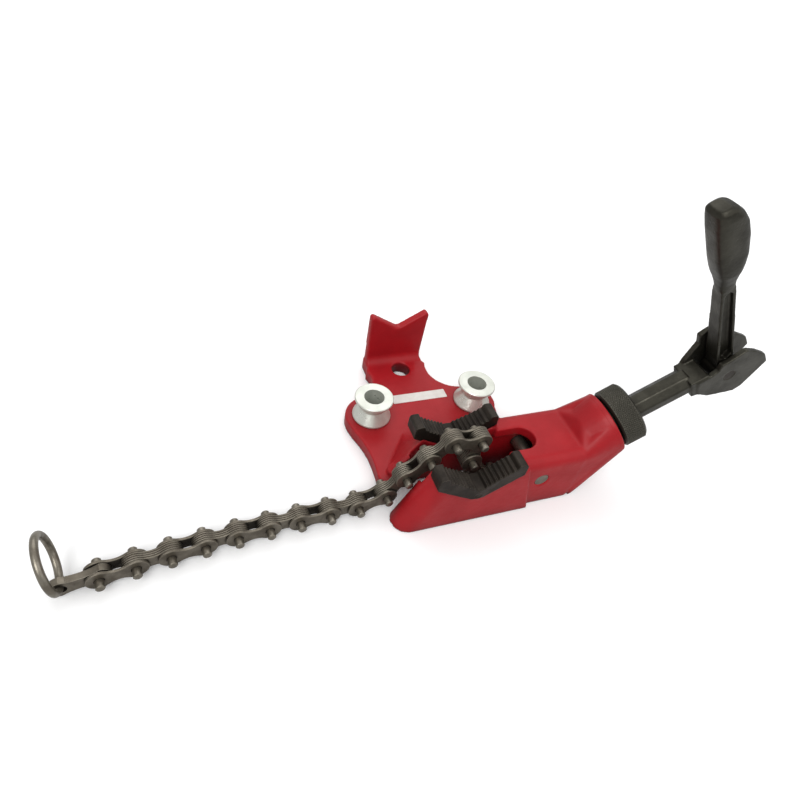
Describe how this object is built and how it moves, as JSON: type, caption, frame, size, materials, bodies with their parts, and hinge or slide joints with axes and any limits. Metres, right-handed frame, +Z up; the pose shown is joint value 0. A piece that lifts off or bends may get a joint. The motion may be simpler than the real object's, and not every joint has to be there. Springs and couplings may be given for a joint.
{
  "type": "chain pipe vise",
  "caption": "Bench chain vise for pipe: cast base with V jaws and pipe rest, leaf chain with pull ring, drawn in by a long nut with a folding crank handle.",
  "frame": {"origin": "on the bench face, midway between the two bench bolts", "axes": "+X towards the handle, +Y from the jaws towards the pipe rest, +Z up from the bench"},
  "size_m": [0.452, 0.1587, 0.2105],
  "materials": {
    "casting": "painted",
    "jaw_steel": "satin",
    "chain_steel": "satin",
    "forged_steel": "satin",
    "roller_metal": "machined"
  },
  "bodies": {
    "base": {"base_casting": "casting", "front_jaw": "jaw_steel", "rear_jaw": "jaw_steel", "front_jaw_screw": "forged_steel", "rear_jaw_screw": "forged_steel", "chain_guide_pin": "forged_steel"},
    "left_roller": {"left_roller": "roller_metal"},
    "right_roller": {"right_roller": "roller_metal"},
    "washer": {"thrust_washer": "forged_steel"},
    "nut": {"nut_sleeve": "forged_steel", "knurled_collar": "forged_steel", "handle_pivot_pin": "forged_steel"},
    "handle": {"handle": "forged_steel"},
    "chain_screw": {"chain_screw": "forged_steel", "anchor_pin": "chain_steel"},
    "link_01": {"link_01": "chain_steel"},
    "link_02": {"link_02": "chain_steel", "pins_02": "chain_steel"},
    "link_03": {"link_03": "chain_steel"},
    "link_04": {"link_04": "chain_steel", "pins_04": "chain_steel"},
    "link_05": {"link_05": "chain_steel"},
    "link_06": {"link_06": "chain_steel", "pins_06": "chain_steel"},
    "link_07": {"link_07": "chain_steel"},
    "link_08": {"link_08": "chain_steel", "pins_08": "chain_steel"},
    "link_09": {"link_09": "chain_steel"},
    "link_10": {"link_10": "chain_steel", "pins_10": "chain_steel"},
    "link_11": {"link_11": "chain_steel"},
    "link_12": {"link_12": "chain_steel", "pins_12": "chain_steel"},
    "link_13": {"link_13": "chain_steel"},
    "link_14": {"link_14": "chain_steel", "pins_14": "chain_steel"},
    "link_15": {"link_15": "chain_steel"},
    "link_16": {"link_16": "chain_steel", "pins_16": "chain_steel"},
    "link_17": {"link_17": "chain_steel"},
    "link_18": {"link_18": "chain_steel", "pins_18": "chain_steel"},
    "end_link": {"end_link": "chain_steel"},
    "pull_ring": {"pull_ring": "chain_steel"}
  },
  "joints": [
    {"name": "nut_turn", "type": "hinge", "parent": "base", "child": "nut", "pos_m": [0.10397, -0.0682, 0.04774], "axis": [0.8406, 0, 0.5417], "range_deg": [0, 720]},
    {"name": "screw_slide", "type": "slide", "parent": "base", "child": "chain_screw", "axis": [0.8406, 0, 0.5417], "range_m": [-0.00508, 0]},
    {"name": "washer_turn", "type": "hinge", "parent": "base", "child": "washer", "pos_m": [0.10397, -0.0682, 0.04774], "axis": [0.8406, 0, 0.5417], "continuous": true},
    {"name": "handle_fold", "type": "hinge", "parent": "nut", "child": "handle", "pos_m": [0.17486, -0.0682, 0.08986], "axis": [0, 1, 0], "range_deg": [0, 150]},
    {"name": "left_roller_spin", "type": "hinge", "parent": "base", "child": "left_roller", "pos_m": [-0.04085, 0, 0.0105], "axis": [0, 0, 1], "continuous": true},
    {"name": "right_roller_spin", "type": "hinge", "parent": "base", "child": "right_roller", "pos_m": [0.04085, 0, 0.0105], "axis": [0, 0, 1], "continuous": true},
    {"name": "chain_joint_00", "type": "hinge", "parent": "chain_screw", "child": "link_01", "pos_m": [0.06328, -0.0682, 0.02152], "axis": [0, 1, 0], "range_deg": [0, 4]},
    {"name": "chain_joint_01", "type": "hinge", "parent": "link_01", "child": "link_02", "pos_m": [0.04727, -0.0682, 0.0112], "axis": [0, -1, 0], "range_deg": [-6, 0]},
    {"name": "chain_joint_02", "type": "hinge", "parent": "link_02", "child": "link_03", "pos_m": [0.02841, -0.0682, 0.00855], "axis": [0, 1, 0], "range_deg": [0, 8]},
    {"name": "chain_joint_03", "type": "hinge", "parent": "link_03", "child": "link_04", "pos_m": [0.01114, -0.0682, 0.0166], "axis": [0, -1, 0], "range_deg": [-15, 0]},
    {"name": "chain_joint_04", "type": "hinge", "parent": "link_04", "child": "link_05", "pos_m": [0.0022, -0.0682, 0.03342], "axis": [0, 1, 0], "range_deg": [0, 30]},
    {"name": "chain_joint_05", "type": "hinge", "parent": "link_05", "child": "link_06", "pos_m": [0.00402, -0.0682, 0.05239], "axis": [0.0087, -1, 0], "range_deg": [-30, 0]},
    {"name": "chain_joint_06", "type": "hinge", "parent": "link_06", "child": "link_07", "pos_m": [-0.0149, -0.06836, 0.05454], "axis": [-0.0087, 1, 0], "range_deg": [0, 30]},
    {"name": "chain_joint_07", "type": "hinge", "parent": "link_07", "child": "link_08", "pos_m": [-0.02874, -0.06856, 0.04145], "axis": [0.0175, -0.9998, 0], "range_deg": [-30, 0]},
    {"name": "chain_joint_08", "type": "hinge", "parent": "link_08", "child": "link_09", "pos_m": [-0.04258, -0.0688, 0.02837], "axis": [-0.0175, 0.9998, 0], "range_deg": [0, 30]},
    {"name": "chain_joint_09", "type": "hinge", "parent": "link_09", "child": "link_10", "pos_m": [-0.05391, -0.06916, 0.01305], "axis": [0.0523, -0.9986, 0], "range_deg": [-30, 0]},
    {"name": "chain_joint_10", "type": "hinge", "parent": "link_10", "child": "link_11", "pos_m": [-0.07219, -0.07011, 0.0078], "axis": [-0.0523, 0.9986, 0], "range_deg": [0, 30]},
    {"name": "chain_joint_11", "type": "hinge", "parent": "link_11", "child": "link_12", "pos_m": [-0.09122, -0.07111, 0.0078], "axis": [0.0419, -0.9991, 0], "range_deg": [-30, 0]},
    {"name": "chain_joint_12", "type": "hinge", "parent": "link_12", "child": "link_13", "pos_m": [-0.11025, -0.07191, 0.0078], "axis": [-0.0419, 0.9991, 0], "range_deg": [0, 30]},
    {"name": "chain_joint_13", "type": "hinge", "parent": "link_13", "child": "link_14", "pos_m": [-0.12928, -0.07291, 0.0078], "axis": [0.0698, -0.9976, 0], "range_deg": [-30, 0]},
    {"name": "chain_joint_14", "type": "hinge", "parent": "link_14", "child": "link_15", "pos_m": [-0.14828, -0.07423, 0.0078], "axis": [-0.0698, 0.9976, 0], "range_deg": [0, 30]},
    {"name": "chain_joint_15", "type": "hinge", "parent": "link_15", "child": "link_16", "pos_m": [-0.16726, -0.0759, 0.0078], "axis": [0.1045, -0.9945, 0], "range_deg": [-30, 0]},
    {"name": "chain_joint_16", "type": "hinge", "parent": "link_16", "child": "link_17", "pos_m": [-0.1862, -0.07789, 0.0078], "axis": [-0.1045, 0.9945, 0], "range_deg": [0, 30]},
    {"name": "chain_joint_17", "type": "hinge", "parent": "link_17", "child": "link_18", "pos_m": [-0.20511, -0.08017, 0.0078], "axis": [0.1305, -0.9914, 0], "range_deg": [-30, 0]},
    {"name": "chain_joint_18", "type": "hinge", "parent": "link_18", "child": "end_link", "pos_m": [-0.224, -0.08266, 0.0078], "axis": [-0.1305, 0.9914, 0], "range_deg": [0, 30]},
    {"name": "ring_swing", "type": "hinge", "parent": "end_link", "child": "pull_ring", "pos_m": [-0.24287, -0.08531, 0.0078], "axis": [-0.1392, 0.9903, 0], "range_deg": [-75, 50]}
  ],
  "couplings": [
    {"joint": "screw_slide", "follows": "nut_turn", "m_per_rad": -0.00040425}
  ]
}
